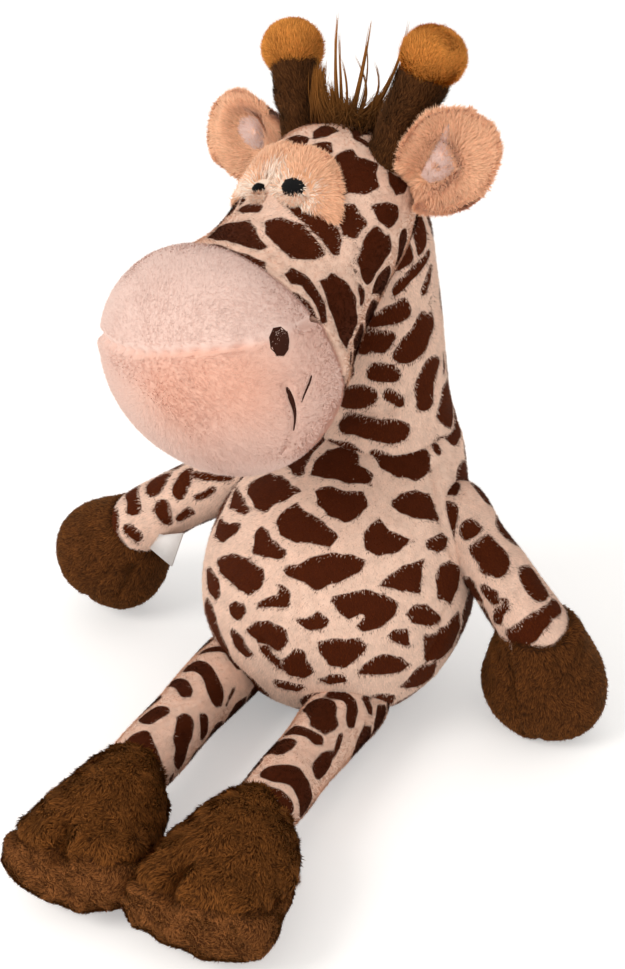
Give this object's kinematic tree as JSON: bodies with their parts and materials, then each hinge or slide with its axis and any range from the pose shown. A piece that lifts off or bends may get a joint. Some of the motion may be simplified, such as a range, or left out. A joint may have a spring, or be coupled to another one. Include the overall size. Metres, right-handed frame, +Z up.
{
  "type": "plush giraffe",
  "caption": "Sitting stuffed giraffe with a pear-shaped spotted body, long soft limbs ending in furry hooves, a big drooping muzzle and furry-tipped horns.",
  "frame": {"origin": "middle of the flat seat under the body, on the floor", "axes": "+Z up, the giraffe faces -Y, +X is the giraffe's own left side"},
  "size_m": [0.3289, 0.3399, 0.3721],
  "materials": {
    "spotted_plush": "short pile plush, cream with dark brown spots",
    "stuffing": "loose polyester fibre",
    "pink_plush": "short soft pile",
    "dark_brown_plush": "short pile plush",
    "golden_fur": "long soft pile",
    "peach_fur": "long soft pile",
    "pale_plush": "short soft pile",
    "black_thread": "satin stitch, slight sheen",
    "dark_thread": "satin stitch, slight sheen",
    "hair_fur": "long soft pile",
    "hoof_fur": "long soft pile, brushed",
    "label_tape": "woven ribbon, matt"
  },
  "bodies": {
    "body": {"body": "spotted_plush", "body_stuffing": "stuffing"},
    "neck": {"neck": "spotted_plush"},
    "head": {"head": "spotted_plush", "head_stuffing": "stuffing", "muzzle_upper": "pink_plush", "muzzle_lower": "pink_plush", "hair_tuft": "hair_fur", "horn_left": "dark_brown_plush", "horn_right": "dark_brown_plush", "horn_tip_left": "golden_fur", "horn_tip_right": "golden_fur", "ear_left": "peach_fur", "ear_right": "peach_fur", "ear_lining_left": "pale_plush", "ear_lining_right": "pale_plush", "eye_patch_left": "peach_fur", "eye_patch_right": "peach_fur", "pupil_left": "black_thread", "pupil_right": "black_thread", "eyelid_left": "pale_plush", "eyelid_right": "pale_plush", "nostril_left": "dark_thread", "nostril_right": "dark_thread", "mouth_stitch_left": "dark_thread", "mouth_stitch_right": "dark_thread", "cheek_stitch_left": "dark_thread", "cheek_stitch_right": "dark_thread"},
    "arm_left": {"arm_left": "spotted_plush"},
    "hand_left": {"hand_left": "hoof_fur"},
    "leg_left": {"leg_left": "spotted_plush"},
    "foot_left": {"foot_left": "hoof_fur", "sole_left": "hoof_fur"},
    "arm_right": {"arm_right": "spotted_plush", "wrist_label": "label_tape"},
    "hand_right": {"hand_right": "hoof_fur"},
    "leg_right": {"leg_right": "spotted_plush"},
    "foot_right": {"foot_right": "hoof_fur", "sole_right": "hoof_fur"},
    "tail": {"tail": "spotted_plush", "tail_tuft": "hoof_fur"}
  },
  "joints": [
    {"name": "neck_bend", "type": "hinge", "parent": "body", "child": "neck", "pos_m": [0.01, 0.036, 0.1615], "axis": [1, 0, 0], "range_deg": [-15, 15], "stiffness_Nm_per_rad": 2},
    {"name": "head_turn", "type": "hinge", "parent": "neck", "child": "head", "pos_m": [0.01, 0.036, 0.2565], "axis": [0, 0, 1], "range_deg": [-20, 40], "stiffness_Nm_per_rad": 0.5},
    {"name": "arm_raise_left", "type": "hinge", "parent": "body", "child": "arm_left", "pos_m": [0.06, 0.018, 0.116], "axis": [0, -1, 0], "range_deg": [0, 75], "stiffness_Nm_per_rad": 0.3},
    {"name": "hand_flop_left", "type": "hinge", "parent": "arm_left", "child": "hand_left", "pos_m": [0.11421, 0.00421, 0.06455], "axis": [0, -1, 0], "range_deg": [-10, 25], "stiffness_Nm_per_rad": 0.1},
    {"name": "leg_swing_left", "type": "hinge", "parent": "body", "child": "leg_left", "pos_m": [0.029, -0.038, 0.024], "axis": [1, 0, 0], "range_deg": [-20, 75], "stiffness_Nm_per_rad": 0.3},
    {"name": "foot_flop_left", "type": "hinge", "parent": "leg_left", "child": "foot_left", "pos_m": [0.02991, -0.14172, 0.0315], "axis": [1, 0, 0], "range_deg": [-25, 25], "stiffness_Nm_per_rad": 0.1},
    {"name": "arm_raise_right", "type": "hinge", "parent": "body", "child": "arm_right", "pos_m": [-0.06, 0.018, 0.116], "axis": [0, 1, 0], "range_deg": [0, 75], "stiffness_Nm_per_rad": 0.3},
    {"name": "hand_flop_right", "type": "hinge", "parent": "arm_right", "child": "hand_right", "pos_m": [-0.11989, -0.00028, 0.07293], "axis": [0, 1, 0], "range_deg": [-10, 25], "stiffness_Nm_per_rad": 0.1},
    {"name": "leg_swing_right", "type": "hinge", "parent": "body", "child": "leg_right", "pos_m": [-0.043, -0.038, 0.024], "axis": [1, 0, 0], "range_deg": [-20, 75], "stiffness_Nm_per_rad": 0.3},
    {"name": "foot_flop_right", "type": "hinge", "parent": "leg_right", "child": "foot_right", "pos_m": [-0.03938, -0.14167, 0.0315], "axis": [1, 0, 0], "range_deg": [-25, 25], "stiffness_Nm_per_rad": 0.1},
    {"name": "tail_swing", "type": "hinge", "parent": "body", "child": "tail", "pos_m": [0, 0.067, 0.042], "axis": [1, 0, 0], "range_deg": [0, 70], "stiffness_Nm_per_rad": 0.01}
  ]
}
